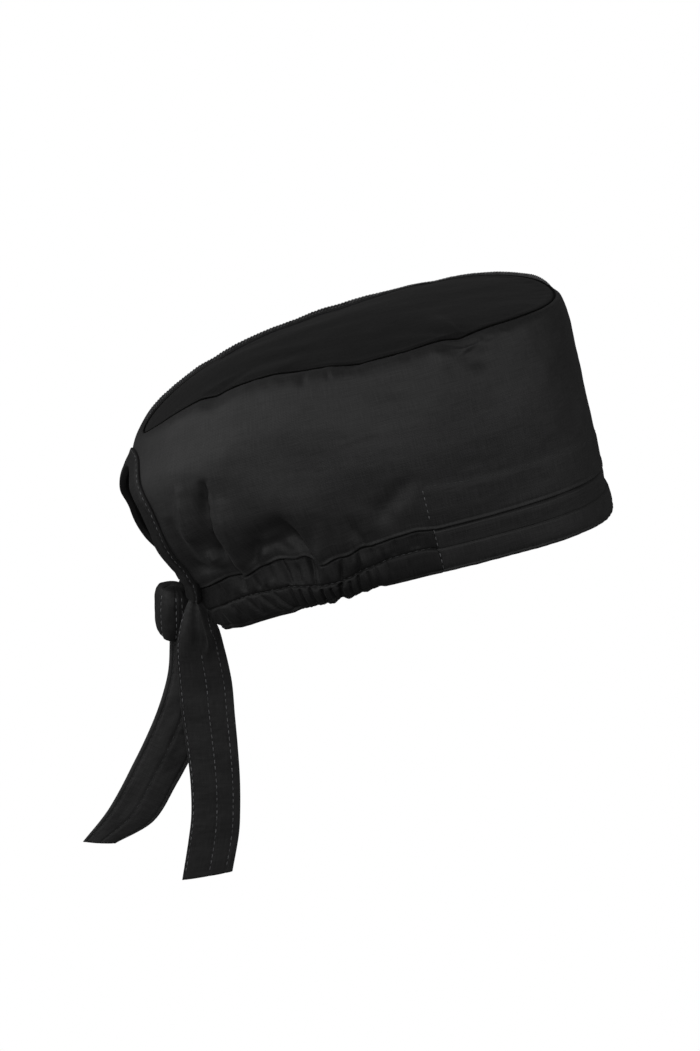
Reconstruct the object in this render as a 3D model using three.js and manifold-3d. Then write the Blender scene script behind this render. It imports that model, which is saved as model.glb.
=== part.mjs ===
import * as THREE from "three";
import Module from "manifold-3d";

// Scrub cap, held as a head holds it. Millimetres; x forward, y to the wearer's left, z up.
// The origin is the centre of the head opening. The cap is made upright, then turned to its worn tilt.

// Main sizes
const TILT = 14.5;
const HALF_LENGTH = 100;
const HALF_WIDTH = 84;
const SIDE_HEIGHT = 104;
const SQUARE = 0.05;
const BACK_POINT = 0.42;
const RIM_SIDE = 6.3;
const RIM_FRONT = -4;
const RIM_BACK = -6;
const FRONT_DROP = 5.3;
const BACK_DROP = 19;
const DROP_POWER = 3.4;
const DOME = 5;
const GAP = 0.4;
const MM_PER_DEGREE = 1.42;

// Cloth thicknesses
const PANEL_WALL = 1.5;
const CASING_WALL = 2.2;
const BAND_WALL = 2.6;
const BINDING_WALL = 2.4;
const TIE_WALL = 1.8;

// Where the pieces meet, as shares of the side's height, and the angle of the band's end seams
const PANEL_FOOT = 0.239;
const CASING_TOP = 0.235;
const BAND_END = 81.5;
const VALLEY = 1;
const VALLEY_REACH = 2.6;
const BINDING_WIDTH = 7.5;
const BINDING_LIFT = 0.6;

// Side profile, from the rim up to the top seam, as shares of the main sizes
const PROFILE = [
  { up: 0.0, rise: 0.0, front: 0.955, back: 0.965, wide_front: 0.93, wide_back: 0.88 },
  { up: 0.06, rise: 0.04, front: 0.985, back: 0.975, wide_front: 0.952, wide_back: 0.89 },
  { up: 0.2, rise: 0.17, front: 0.982, back: 1.005, wide_front: 0.975, wide_back: 0.89 },
  { up: 0.38, rise: 0.4, front: 0.992, back: 1.085, wide_front: 0.998, wide_back: 0.88 },
  { up: 0.54, rise: 0.6, front: 1.0, back: 1.145, wide_front: 1.003, wide_back: 0.86 },
  { up: 0.68, rise: 0.76, front: 0.998, back: 1.15, wide_front: 0.985, wide_back: 0.81 },
  { up: 0.8, rise: 0.88, front: 0.994, back: 1.08, wide_front: 0.955, wide_back: 0.73 },
  { up: 0.9, rise: 0.97, front: 0.982, back: 1.03, wide_front: 0.915, wide_back: 0.635 },
  { up: 1.0, rise: 1.0, front: 0.945, back: 0.985, wide_front: 0.835, wide_back: 0.475 },
];

// Folds and dents of the side panel: from a head to a foot, in degrees round and share of height.
// Width and depth in millimetres; a minus depth is a dent, a plus one a ridge.
const FOLDS = [
  { a0: 134, v0: 0.62, a1: 141, v1: 0.24, width: 4.5, depth: -2.8 },
  { a0: 126, v0: 0.5, a1: 131, v1: 0.24, width: 4, depth: 1.6 },
  { a0: 121, v0: 0.43, a1: 118, v1: 0.24, width: 6.5, depth: -3 },
  { a0: 110, v0: 0.38, a1: 110, v1: 0.24, width: 4.5, depth: 1.2 },
  { a0: 148, v0: 0.55, a1: 151, v1: 0.26, width: 4, depth: 1.2 },
  { a0: 102, v0: 0.34, a1: 101, v1: 0.24, width: 3.5, depth: -1 },
  { a0: 63, v0: 0.93, a1: 58, v1: 0.72, width: 9, depth: -2.2 },
  { a0: 68, v0: 0.95, a1: 68, v1: 0.88, width: 3, depth: -1.2 },
  { a0: 103, v0: 0.66, a1: 78, v1: 0.62, width: 5, depth: -1 },
  { a0: 118, v0: 0.74, a1: 96, v1: 0.8, width: 13, depth: 1.2 },
  { a0: 40, v0: 0.66, a1: 22, v1: 0.56, width: 10, depth: -1.2 },
];

// Gathers of a rear casing: the angle of each crest, its width and its height, from the band's end back
const GATHERS = [
  { angle: 85.5, width: 1.6, height: 0.5 },
  { angle: 90, width: 2, height: 0.8 },
  { angle: 95, width: 1.8, height: 0.7 },
  { angle: 100, width: 2, height: 1.1 },
  { angle: 104, width: 1.4, height: 1.4 },
  { angle: 107.5, width: 1.4, height: 1.7 },
  { angle: 111, width: 1.4, height: 1.9 },
  { angle: 114.5, width: 1.4, height: 1.8 },
  { angle: 118, width: 1.4, height: 2 },
  { angle: 121.5, width: 1.4, height: 1.8 },
  { angle: 125, width: 1.5, height: 1.7 },
  { angle: 129, width: 1.6, height: 1.4 },
  { angle: 133.5, width: 1.8, height: 1.2 },
  { angle: 138.5, width: 2, height: 1.1 },
  { angle: 144, width: 2.2, height: 0.9 },
  { angle: 150, width: 2.4, height: 0.7 },
];

// Front band steps: share of height, and how far each stage stands out
const BAND_STEPS = [
  { v: 0.0, out: 0.4 },
  { v: 0.025, out: 1.2 },
  { v: 0.06, out: 1.3 },
  { v: 0.125, out: 1.3 },
  { v: 0.143, out: 1.2 },
  { v: 0.15, out: 0.3 },
  { v: 0.175, out: 0.8 },
  { v: 0.215, out: 0.8 },
  { v: 0.235, out: 0.2 },
];

// Back opening seen from behind, in the upright cap: its two edges at each height
const OPENING = [
  { height: -30, right: -58, left: 40 },
  { height: -8, right: -36, left: 24 },
  { height: 0.5, right: -28, left: 18.2 },
  { height: 8, right: -21, left: 13.2 },
  { height: 12, right: -20.6, left: 12.6 },
  { height: 17, right: -24, left: 13.5 },
  { height: 27, right: -26, left: 14.5 },
  { height: 38, right: -27, left: 14.5 },
  { height: 48, right: -27, left: 12.5 },
  { height: 56, right: -25.5, left: 10 },
  { height: 63, right: -21.5, left: 6.5 },
  { height: 68.5, right: -16, left: 2.5 },
  { height: 72, right: -10.5, left: -2 },
];

// Tie tails, where they hang: the two edges of the strap at each row, and how far left each edge is
const RIGHT_TAIL = [
  { ax: -98.2, az: -15, ay: -19.6, bx: -85.2, bz: -27.4, by: -31.6 },
  { ax: -99.9, az: -20.5, ay: -18.8, bx: -85.4, bz: -31.8, by: -28.6 },
  { ax: -102, az: -29, ay: -17.5, bx: -84.6, bz: -36.8, by: -23 },
  { ax: -103.4, az: -40, ay: -16.6, bx: -81.4, bz: -43, by: -19 },
  { ax: -102.4, az: -56, ay: -15, bx: -78.2, bz: -56, by: -17 },
  { ax: -101, az: -72, ay: -14.5, bx: -76.8, bz: -72, by: -16 },
  { ax: -99.2, az: -86, ay: -14.5, bx: -75.6, bz: -86, by: -15.5 },
  { ax: -97.4, az: -102, ay: -14.5, bx: -74.6, bz: -102, by: -15 },
  { ax: -97, az: -118, ay: -15, bx: -74.5, bz: -118, by: -15 },
  { ax: -98.4, az: -131, ay: -15.5, bx: -75.2, bz: -130, by: -15 },
  { ax: -101.4, az: -150, ay: -16, bx: -78.2, bz: -146.6, by: -15.5 },
];
const LEFT_TAIL = [
  { ax: -99.4, az: -14, ay: 9.6, bx: -88.4, bz: -28.8, by: 19.2 },
  { ax: -102.2, az: -19.5, ay: 9, bx: -89.8, bz: -33, by: 16 },
  { ax: -105, az: -28, ay: 8.8, bx: -90.4, bz: -38, by: 12 },
  { ax: -105.4, az: -40.5, ay: 7.4, bx: -88, bz: -45, by: 8 },
  { ax: -106.5, az: -56, ay: 3, bx: -85.5, bz: -59, by: 3 },
  { ax: -111, az: -71, ay: -2, bx: -89, bz: -78, by: -2 },
  { ax: -116.5, az: -84, ay: -4.5, bx: -95.5, bz: -93, by: -4.5 },
  { ax: -123, az: -97, ay: -5.5, bx: -103, bz: -107, by: -5.5 },
  { ax: -134.5, az: -118, ay: -6.5, bx: -114, bz: -124.5, by: -6.5 },
  { ax: -146.5, az: -133.5, ay: -7, bx: -131.5, bz: -134.5, by: -7 },
];

// Knot: half sizes of its level sections, from its foot to its top
const KNOT = { x: -104.4, y: -3.65, z: -25.2, turn: 12 };
const KNOT_SECTIONS = [
  { z: -12.6, long: 3.4, across: 6 },
  { z: -11.4, long: 5.6, across: 8.6 },
  { z: -8, long: 7.1, across: 11.3 },
  { z: -2.5, long: 7.7, across: 12.2 },
  { z: 3, long: 7.7, across: 11.9 },
  { z: 8, long: 7.1, across: 11 },
  { z: 11.4, long: 5.4, across: 8.6 },
  { z: 12.6, long: 3.2, across: 6 },
];

const wasm = await Module();
wasm.setup();
const rad = THREE.MathUtils.degToRad;

// The tables of the opening, the straps and the knot hold for a cap 200 by 168 by 104, and follow its main sizes
const FIT = new THREE.Vector3(HALF_LENGTH / 100, HALF_WIDTH / 84, SIDE_HEIGHT / 104);
const TIE_DROP = (HALF_LENGTH - 100 * FIT.z) * Math.sin(rad(TILT));

// A place on the straps or the knot, which go with the cap's back
function tiePlace(x, y, z) {
  return new THREE.Vector3(x * FIT.x, y * FIT.y, z * FIT.z - TIE_DROP);
}

// A smooth curve through one column of a table, against its first column
function along(table, key, column, at) {
  const last = table.length - 1;
  const x = (i) => table[i][key];
  const y = (i) => table[i][column];
  const t = Math.min(Math.max(at, x(0)), x(last));
  let i = 0;
  while (i < last - 1 && t > x(i + 1)) i += 1;
  const slope = (j) => {
    if (j === 0) return (y(1) - y(0)) / (x(1) - x(0));
    if (j === last) return (y(last) - y(last - 1)) / (x(last) - x(last - 1));
    const before = x(j) - x(j - 1);
    const after = x(j + 1) - x(j);
    const a = (y(j) - y(j - 1)) / before;
    const b = (y(j + 1) - y(j)) / after;
    return (a * after + b * before) / (before + after);
  };
  const h = x(i + 1) - x(i);
  const u = (t - x(i)) / h;
  const start = (2 * u * u * u - 3 * u * u + 1) * y(i) + (u * u * u - 2 * u * u + u) * h * slope(i);
  return start + (3 * u * u - 2 * u * u * u) * y(i + 1) + (u * u * u - u * u) * h * slope(i + 1);
}

// Height of the rim and of the top seam round the cap, the angle counted from the front
function rimHeight(angle) {
  const c = Math.cos(angle);
  return RIM_SIDE + ((c > 0 ? RIM_FRONT : RIM_BACK) - RIM_SIDE) * c * c;
}

function seamHeight(angle, share) {
  const c = Math.cos(angle);
  return SIDE_HEIGHT - (c > 0 ? FRONT_DROP : BACK_DROP) * Math.pow(Math.abs(c) * share, DROP_POWER);
}

// The smooth side, before folds: v runs from the rim at 0 to the top seam at 1
function sidePoint(angle, v) {
  const c = Math.cos(angle);
  const square = 1 + SQUARE * Math.sin(2 * angle) ** 2;
  const front = 0.5 * (1 + Math.tanh(6 * c));
  const ahead = 0.5 * (1 + Math.tanh(1.9 * c + 0.15));
  const at = (column) => along(PROFILE, "up", column, v);
  const reach = HALF_LENGTH * (at("front") * front + at("back") * (1 - front));
  const half = HALF_WIDTH * (at("wide_front") * ahead + at("wide_back") * (1 - ahead));
  const pointed = c > 0 ? c : c * (1 - (BACK_POINT * (1 + c) * c) / (c - 0.12));
  const low = rimHeight(angle);
  return new THREE.Vector3(
    reach * pointed * square,
    half * Math.sin(angle) * square,
    low + (seamHeight(angle, 1) - low) * at("rise"),
  );
}

// The smooth side's outward direction
function sideNormal(angle, v) {
  const step = 0.01;
  const low = Math.max(v - step, 0);
  const high = Math.min(v + step, 1);
  const round = sidePoint(angle + step, v).sub(sidePoint(angle - step, v));
  const up = sidePoint(angle, high).sub(sidePoint(angle, low));
  return round.cross(up).normalize();
}

// How far the side panel's folds move it at a place on it
function foldRelief(angle, v) {
  const a = Math.abs(THREE.MathUtils.radToDeg(angle));
  let out = 0;
  for (const f of FOLDS) {
    const ax = (f.a1 - f.a0) * MM_PER_DEGREE;
    const ay = (f.v1 - f.v0) * SIDE_HEIGHT;
    const px = (a - f.a0) * MM_PER_DEGREE;
    const py = (v - f.v0) * SIDE_HEIGHT;
    const length = Math.hypot(ax, ay);
    const t = Math.min(Math.max((px * ax + py * ay) / (length * length), 0), 1);
    const far = Math.hypot(px - t * ax, py - t * ay);
    out += f.depth * (0.35 + 0.65 * Math.min(t * 2, 1)) * Math.exp(-((far / f.width) ** 2));
  }
  return out;
}

// How far a casing's gathers move it; they are strongest at the rim
function gatherRelief(angle, v) {
  const a = Math.abs(THREE.MathUtils.radToDeg(angle));
  let out = 0;
  for (const g of GATHERS) {
    out += g.height * Math.exp(-(((a - g.angle) / g.width) ** 2));
  }
  const channel = 0.55 * Math.exp(-(((v - 0.14) / 0.018) ** 2));
  return (out - 0.5) * (0.55 + 0.45 * Math.cos(v * 9)) + 1.5 * Math.sin((Math.PI * v) / CASING_TOP) - channel;
}

// A closed solid between two grids of points; closed grids wrap round in their second direction
function slab(outer, inner, wraps) {
  const rows = outer.length;
  const cols = outer[0].length;
  const positions = [];
  for (const grid of [outer, inner]) {
    for (const row of grid) {
      for (const p of row) positions.push(p.x, p.y, p.z);
    }
  }
  const index = [];
  const id = (layer, i, j) => (layer * rows + i) * cols + (j % cols);
  const quad = (a, b, c, d) => index.push(a, b, c, a, c, d);
  const across = wraps ? cols : cols - 1;
  for (let i = 0; i < rows - 1; i += 1) {
    for (let j = 0; j < across; j += 1) {
      quad(id(0, i, j), id(0, i, j + 1), id(0, i + 1, j + 1), id(0, i + 1, j));
      quad(id(1, i, j), id(1, i + 1, j), id(1, i + 1, j + 1), id(1, i, j + 1));
    }
  }
  for (let j = 0; j < across; j += 1) {
    quad(id(0, 0, j + 1), id(0, 0, j), id(1, 0, j), id(1, 0, j + 1));
    const top = rows - 1;
    quad(id(0, top, j), id(0, top, j + 1), id(1, top, j + 1), id(1, top, j));
  }
  if (!wraps) {
    const end = cols - 1;
    for (let i = 0; i < rows - 1; i += 1) {
      quad(id(0, i, 0), id(0, i + 1, 0), id(1, i + 1, 0), id(1, i, 0));
      quad(id(0, i + 1, end), id(0, i, end), id(1, i, end), id(1, i + 1, end));
    }
  }
  const made = new THREE.BufferGeometry();
  made.setAttribute("position", new THREE.Float32BufferAttribute(positions, 3));
  made.setIndex(index);
  return made;
}

// A patch of the side between two angles and two heights, moved out by a relief
function sidePatch({ from, to, cols, rows, wraps = false, relief, wall, lift = 0, topLevel = false, hem = () => 0 }) {
  const outer = [];
  const inner = [];
  for (const v of rows) {
    const outerRow = [];
    const innerRow = [];
    for (let j = 0; j < (wraps ? cols : cols + 1); j += 1) {
      const angle = from + ((to - from) * j) / cols;
      const level = topLevel ? THREE.MathUtils.smoothstep(v, 0.9, 0.985) : 0;
      const way = sideNormal(angle, v).lerp(new THREE.Vector3(0, 0, 1), level).normalize();
      const p = sidePoint(angle, v).addScaledVector(way, lift + relief(angle, v));
      p.z += hem(angle, v);
      outerRow.push(p);
      innerRow.push(p.clone().addScaledVector(way, -wall));
    }
    outer.push(outerRow);
    inner.push(innerRow);
  }
  return slab(outer, inner, wraps);
}

// Geometry and manifold-3d solids turned into each other
function solidOf(geometry) {
  return new wasm.Manifold(
    new wasm.Mesh({
      numProp: 3,
      vertProperties: new Float32Array(geometry.getAttribute("position").array),
      triVerts: new Uint32Array(geometry.index.array),
    }),
  );
}

function geometryOf(solid) {
  const mesh = solid.getMesh();
  const made = new THREE.BufferGeometry();
  const points = [];
  for (let i = 0; i < mesh.numVert; i += 1) {
    points.push(...mesh.vertProperties.subarray(i * mesh.numProp, i * mesh.numProp + 3));
  }
  made.setAttribute("position", new THREE.Float32BufferAttribute(points, 3));
  made.setIndex(Array.from(mesh.triVerts));
  return made;
}

// The back opening's outline, y and z, grown outwards by a width
function openingOutline(grow) {
  const edge = [];
  for (const row of OPENING) edge.push(new THREE.Vector2(row.right * FIT.y, row.height * FIT.z));
  for (const row of [...OPENING].reverse()) edge.push(new THREE.Vector2(row.left * FIT.y, row.height * FIT.z));
  const smooth = new THREE.SplineCurve(edge).getPoints(44);
  const cut = smooth.filter((p) => p.y > -29.5 * FIT.z);
  const grown = cut.map((p, i) => {
    const before = cut[Math.max(i - 1, 0)];
    const after = cut[Math.min(i + 1, cut.length - 1)];
    const way = after.clone().sub(before).normalize();
    return new THREE.Vector2(p.x - way.y * grow, p.y + way.x * grow);
  });
  return grown.reverse();
}

// A prism through the cap's back with the opening's outline
function openingPrism(grow) {
  const outline = openingOutline(grow);
  const positions = [];
  for (const x of [-1.5 * HALF_LENGTH, -0.55 * HALF_LENGTH]) {
    for (const p of outline) positions.push(x, p.x, p.y);
  }
  const n = outline.length;
  const index = [];
  for (let i = 0; i < n; i += 1) {
    const j = (i + 1) % n;
    index.push(i, j, n + j, i, n + j, n + i);
  }
  for (const [a, b, c] of THREE.ShapeUtils.triangulateShape(outline, [])) {
    index.push(a, c, b, n + a, n + b, n + c);
  }
  const made = new THREE.BufferGeometry();
  made.setAttribute("position", new THREE.Float32BufferAttribute(positions, 3));
  made.setIndex(index);
  return solidOf(made);
}

// Heights for a patch's rows, evenly from one to the other
function levels(low, high, count) {
  return Array.from({ length: count + 1 }, (_, i) => low + ((high - low) * i) / count);
}

// Top panel: rings out to the seam, each lowered near it, closed at the middle
function crownTop() {
  const shares = [0.2, 0.42, 0.62, 0.8, 0.92, 0.965, 1];
  const cols = 60;
  const positions = [];
  const point = (angle, share, wall) => {
    const seam = sidePoint(angle, 1);
    const reach = Math.hypot(seam.x, seam.y);
    const inset = (reach - GAP) / reach;
    const from = (1 - share) * reach;
    const z = seamHeight(angle, share) + DOME * (1 - share * share);
    const puff = 1.4 * Math.sin(share * 9 + 2 * Math.cos(angle)) * share * (1 - share);
    return [
      seam.x * share * inset,
      seam.y * share * inset,
      z + puff - VALLEY * Math.exp(-((from / VALLEY_REACH) ** 2)) - wall,
    ];
  };
  for (const wall of [0, PANEL_WALL]) {
    positions.push(...point(0, 0, wall));
    for (const share of shares) {
      for (let j = 0; j < cols; j += 1) positions.push(...point((2 * Math.PI * j) / cols, share, wall));
    }
  }
  const layer = 1 + shares.length * cols;
  const id = (l, i, j) => l * layer + 1 + i * cols + (j % cols);
  const index = [];
  for (let j = 0; j < cols; j += 1) {
    index.push(0, id(0, 0, j), id(0, 0, j + 1));
    index.push(layer, id(1, 0, j + 1), id(1, 0, j));
    for (let i = 0; i < shares.length - 1; i += 1) {
      index.push(id(0, i, j), id(0, i + 1, j), id(0, i + 1, j + 1));
      index.push(id(0, i, j), id(0, i + 1, j + 1), id(0, i, j + 1));
      index.push(id(1, i, j), id(1, i + 1, j + 1), id(1, i + 1, j));
      index.push(id(1, i, j), id(1, i, j + 1), id(1, i + 1, j + 1));
    }
    const rim = shares.length - 1;
    index.push(id(0, rim, j), id(1, rim, j), id(1, rim, j + 1));
    index.push(id(0, rim, j), id(1, rim, j + 1), id(0, rim, j + 1));
  }
  const made = new THREE.BufferGeometry();
  made.setAttribute("position", new THREE.Float32BufferAttribute(positions, 3));
  made.setIndex(index);
  return made;
}

// Side panel: the whole way round, sunk at the top seam, with the back opening cut out
function sidePanel() {
  const rows = [PANEL_FOOT, 0.3, 0.36, 0.42, 0.49, 0.57, 0.66, 0.75, 0.84, 0.92, 0.97, 1];
  const wrap = sidePatch({
    from: -Math.PI,
    to: Math.PI,
    cols: 74,
    rows,
    wraps: true,
    wall: PANEL_WALL,
    topLevel: true,
    relief: (angle, v) => foldRelief(angle, v) - VALLEY * Math.exp(-((((1 - v) * 75) / VALLEY_REACH) ** 2)),
  });
  return geometryOf(solidOf(wrap).subtract(openingPrism(BINDING_WIDTH + GAP)));
}

// Binding: the strip between the opening and the side panel, a little thicker than the panel
function openingBinding() {
  const patch = sidePatch({
    from: Math.PI * 0.72,
    to: Math.PI * 1.28,
    cols: 20,
    rows: levels(PANEL_FOOT, 0.86, 11),
    wall: BINDING_WALL,
    lift: BINDING_LIFT,
    relief: () => 0,
  });
  return geometryOf(
    solidOf(patch).intersect(openingPrism(BINDING_WIDTH)).subtract(openingPrism(0)),
  );
}

// Front band: from end seam to end seam, in steps
function frontBand() {
  const rows = BAND_STEPS.map((step) => step.v);
  return sidePatch({
    from: -rad(BAND_END - 0.15),
    to: rad(BAND_END - 0.15),
    cols: 40,
    rows,
    wall: BAND_WALL,
    relief: (angle, v) => along(BAND_STEPS, "v", "out", v),
  });
}

// Rear casing on one side, gathered by its elastic; its rear end is cut by the opening
function rearCasing(side) {
  const start = rad(BAND_END + 0.15);
  const end = Math.PI * 0.985;
  const patch = sidePatch({
    from: side > 0 ? start : -end,
    to: side > 0 ? end : -start,
    cols: 64,
    rows: [0, 0.03, 0.08, 0.12, 0.14, 0.165, CASING_TOP],
    wall: CASING_WALL,
    relief: gatherRelief,
    hem: (angle, v) => -0.9 * gatherRelief(angle, v) * Math.max(1 - v / 0.09, 0),
  });
  return geometryOf(solidOf(patch).subtract(openingPrism(0)));
}

// Tie tail: a flat strap through the rows of its two edges, bowed a little across
function tieTail(table, bow) {
  const across = 4;
  const front = [];
  const steps = (table.length - 1) * 2;
  const rows = table.map((row, i) => ({ ...row, at: i }));
  for (let i = steps; i >= 0; i -= 1) {
    const t = i / 2;
    const a = tiePlace(...["ax", "ay", "az"].map((key) => along(rows, "at", key, t)));
    const b = tiePlace(...["bx", "by", "bz"].map((key) => along(rows, "at", key, t)));
    const row = [];
    for (let j = 0; j <= across; j += 1) {
      const share = j / across;
      const p = a.clone().lerp(b, share);
      p.y -= bow * 4 * share * (1 - share) * Math.min(t / 2, 1);
      row.push(p);
    }
    front.push(row);
  }
  const back = front.map((row, i) =>
    row.map((p, j) => {
      const below = front[Math.max(i - 1, 0)][j];
      const above = front[Math.min(i + 1, steps)][j];
      const way = above.clone().sub(below).cross(row[across].clone().sub(row[0])).normalize();
      return p.clone().addScaledVector(way, TIE_WALL);
    }),
  );
  return slab(front, back, false);
}

// Knot: a rounded lump of wrapped strap, its level sections squared off
function tieKnot() {
  const cols = 20;
  const rings = KNOT_SECTIONS.map((s) => {
    const ring = [];
    for (let j = 0; j < cols; j += 1) {
      const t = (2 * Math.PI * j) / cols;
      const c = Math.cos(t);
      const n = Math.sin(t);
      const power = 0.72;
      const x = s.long * Math.sign(c) * Math.pow(Math.abs(c), power);
      const y = s.across * Math.sign(n) * Math.pow(Math.abs(n), power);
      const turned = new THREE.Vector3(x, y, s.z).applyAxisAngle(new THREE.Vector3(0, 0, 1), rad(KNOT.turn));
      ring.push(tiePlace(KNOT.x + turned.x, KNOT.y + turned.y, KNOT.z + turned.z));
    }
    return ring;
  });
  const positions = [];
  for (const ring of rings) for (const p of ring) positions.push(p.x, p.y, p.z);
  const n = rings.length;
  const centre = tiePlace(KNOT.x, KNOT.y, KNOT.z);
  positions.push(centre.x, centre.y, rings[0][0].z - 0.4, centre.x, centre.y, rings[n - 1][0].z + 0.4);
  const index = [];
  for (let i = 0; i < n - 1; i += 1) {
    for (let j = 0; j < cols; j += 1) {
      const k = (j + 1) % cols;
      index.push(i * cols + j, i * cols + k, (i + 1) * cols + k);
      index.push(i * cols + j, (i + 1) * cols + k, (i + 1) * cols + j);
    }
  }
  for (let j = 0; j < cols; j += 1) {
    const k = (j + 1) % cols;
    index.push(n * cols, k, j);
    index.push(n * cols + 1, (n - 1) * cols + j, (n - 1) * cols + k);
  }
  const made = new THREE.BufferGeometry();
  made.setAttribute("position", new THREE.Float32BufferAttribute(positions, 3));
  made.setIndex(index);
  return made;
}

// One named mesh with its own material
function piece(name, geometry) {
  geometry.computeVertexNormals();
  const cloth = new THREE.MeshStandardMaterial({ color: 0x1c1c1e, roughness: 0.75, metalness: 0 });
  const mesh = new THREE.Mesh(geometry, cloth);
  mesh.name = name;
  return mesh;
}

// The cap's own pieces share its worn tilt; the ties hang straight
const cap = new THREE.Group();
cap.rotation.y = -rad(TILT);
cap.add(
  piece("crown_top", crownTop()),
  piece("side_panel", sidePanel()),
  piece("opening_binding", openingBinding()),
  piece("front_band", frontBand()),
  piece("casing_right", rearCasing(-1)),
  piece("casing_left", rearCasing(1)),
);

const scrubCap = new THREE.Group();
scrubCap.add(
  cap,
  piece("tie_knot", tieKnot()),
  piece("tie_tail_right", tieTail(RIGHT_TAIL, 1.2)),
  piece("tie_tail_left", tieTail(LEFT_TAIL, 0.8)),
);

export default scrubCap;
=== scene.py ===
"""Looks of the scrub cap: its cloth pieces, straps, seams and stitches, in mm until they are meshed."""

import math

import bmesh
import bpy
import numpy as np
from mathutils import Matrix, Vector


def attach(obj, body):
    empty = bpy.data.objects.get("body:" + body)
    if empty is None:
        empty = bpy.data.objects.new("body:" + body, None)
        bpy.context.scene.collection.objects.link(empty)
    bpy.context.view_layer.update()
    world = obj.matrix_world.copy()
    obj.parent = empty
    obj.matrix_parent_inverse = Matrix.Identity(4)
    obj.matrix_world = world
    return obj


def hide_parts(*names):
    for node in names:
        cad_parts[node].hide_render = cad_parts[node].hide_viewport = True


MM = 0.001
BODY = "root"

# Main sizes of the cap in its upright frame: x forward, y to the wearer's left, z up
TILT = math.radians(14.5)
HALF_LENGTH = 100.0
HALF_WIDTH = 84.0
SIDE_HEIGHT = 104.0
SQUARE = 0.05
BACK_POINT = 0.42
RIM_SIDE = 6.3
RIM_FRONT = -4.0
RIM_BACK = -6.0
FRONT_DROP = 5.3
BACK_DROP = 19.0
DROP_POWER = 3.4
DOME = 5.0

# Millimetres of cloth for a degree round the side, for the full height near the top seam, and across the top
MM_PER_DEGREE = 1.42
MM_NEAR_TOP = 75.0
TOP_REACH = 90.0

# Cloth thicknesses
PANEL_WALL = 1.3
CASING_WALL = 2.0
BAND_WALL = 2.2
TIE_WALL = 1.7

# Where the pieces meet, as shares of the side's height, and the band's end seams, in degrees from the front
SEAM_FOOT = 0.237
MID_SEAM = 0.14
HEM_SEAM = 0.024
BAND_END = 81.5

# Where the elastic starts to draw the cloth in, and where it does so in full, in degrees from the front
GATHER = (90, 116)

# Where the casings end under the opening's strip, left (1) and right (-1), in degrees from the front
CASING_END = {1: 171.0, -1: 168.0}

# How far the side's and the casings' cloth is cut back from the opening, which lies behind this x
SIDE_CUT = 4.5
CASING_CUT = 0.3
OPENING_X = -55

# The strip round the opening: width, lowest height, its stitch row from its outer edge, how far it stands
# out and in from its middle, and how much further out it lies on the casing, between two heights
BINDING_WIDTH = 7.5
BINDING_FOOT = 11.0
BINDING_ROW = 1.3
BINDING_OUT = 1.35
BINDING_IN = 1.6
BINDING_LIFT = 1.3
BINDING_LIFTED = (12, 26)

# Side profile from the rim up to the top seam, in shares of the main sizes
UP, RISE, FRONT, BACK, WIDE_FRONT, WIDE_BACK = range(6)
PROFILE = np.array([
    (0.00, 0.00, 0.978, 0.965, 0.936, 0.880),
    (0.06, 0.04, 0.984, 0.975, 0.952, 0.890),
    (0.20, 0.17, 0.982, 1.005, 0.975, 0.890),
    (0.38, 0.40, 0.992, 1.085, 0.998, 0.880),
    (0.54, 0.60, 1.000, 1.145, 1.003, 0.860),
    (0.68, 0.76, 0.998, 1.150, 0.985, 0.810),
    (0.80, 0.88, 0.994, 1.080, 0.955, 0.730),
    (0.90, 0.97, 0.988, 1.030, 0.915, 0.635),
    (1.00, 1.00, 0.968, 0.985, 0.835, 0.475),
])

# Folds of the side panel: head angle, head height, foot angle, foot height, half width at the head and at
# the foot in mm, depth in mm, and how soft the front and back flanks are, where they differ
FOLDS = [
    (135, 0.61, 139.6, 0.36, 1.2, 4.2, -5.4, 0.3, 1.5),
    (142.4, 0.61, 144.6, 0.44, 2, 2.4, 2.2),
    (143.2, 0.365, 142.6, 0.33, 1.6, 1.6, 2.6),
    (137.9, 0.42, 138.9, 0.25, 1, 2.4, -4.6, 0.3, 1.7),
    (132, 0.52, 136, 0.3, 2, 2.6, 1.5),
    (129, 0.372, 132.4, 0.27, 2.2, 2.6, -3.6, 0.9, 1.1),
    (128, 0.365, 121, 0.375, 3.4, 4.4, -2.6),
    (125, 0.355, 124.5, 0.24, 7, 7.5, -5.6),
    (121, 0.392, 118, 0.245, 3.4, 2.4, -5, 0.5, 1.4),
    (123.4, 0.31, 122.4, 0.29, 1.4, 1.6, 1.2),
    (130, 0.295, 129.4, 0.272, 1.3, 1.5, 1.1),
    (126.5, 0.3, 126, 0.27, 1.2, 1.4, 1),
    (112.4, 0.34, 115.5, 0.24, 1.8, 2.4, 1.7),
    (103.4, 0.33, 101.5, 0.255, 2.2, 2.8, -1.7),
    (98, 0.29, 98, 0.25, 1.4, 2.4, -0.8),
    (148.2, 0.5, 149, 0.32, 2.6, 4, -2.6),
    (149, 0.31, 142.5, 0.27, 2.4, 2.2, -1.6),
    (84, 0.43, 92, 0.345, 3, 4, -1.8),
    (101, 0.617, 88.9, 0.63, 0.5, 0.5, 0.2),
    (61.3, 0.885, 58.5, 0.83, 5, 6, -2.9),
    (69.5, 0.93, 67, 0.84, 2, 4, 1.2),
    (66, 0.955, 58, 0.93, 1.8, 2.4, -1.3),
    (106, 0.96, 106.5, 0.9, 0.9, 1.6, -0.7),
    (98, 0.965, 98, 0.91, 0.8, 1.4, -0.7),
    (56, 0.965, 54, 0.9, 0.8, 1.6, -0.7),
    (50, 0.965, 49, 0.9, 0.8, 1.6, 0.6),
    (97, 0.78, 86, 0.72, 8, 10, -1.3),
    (118, 0.74, 104, 0.8, 12, 12, 1.2),
    (40, 0.66, 22, 0.56, 9, 11, -1.2),
]

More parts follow.
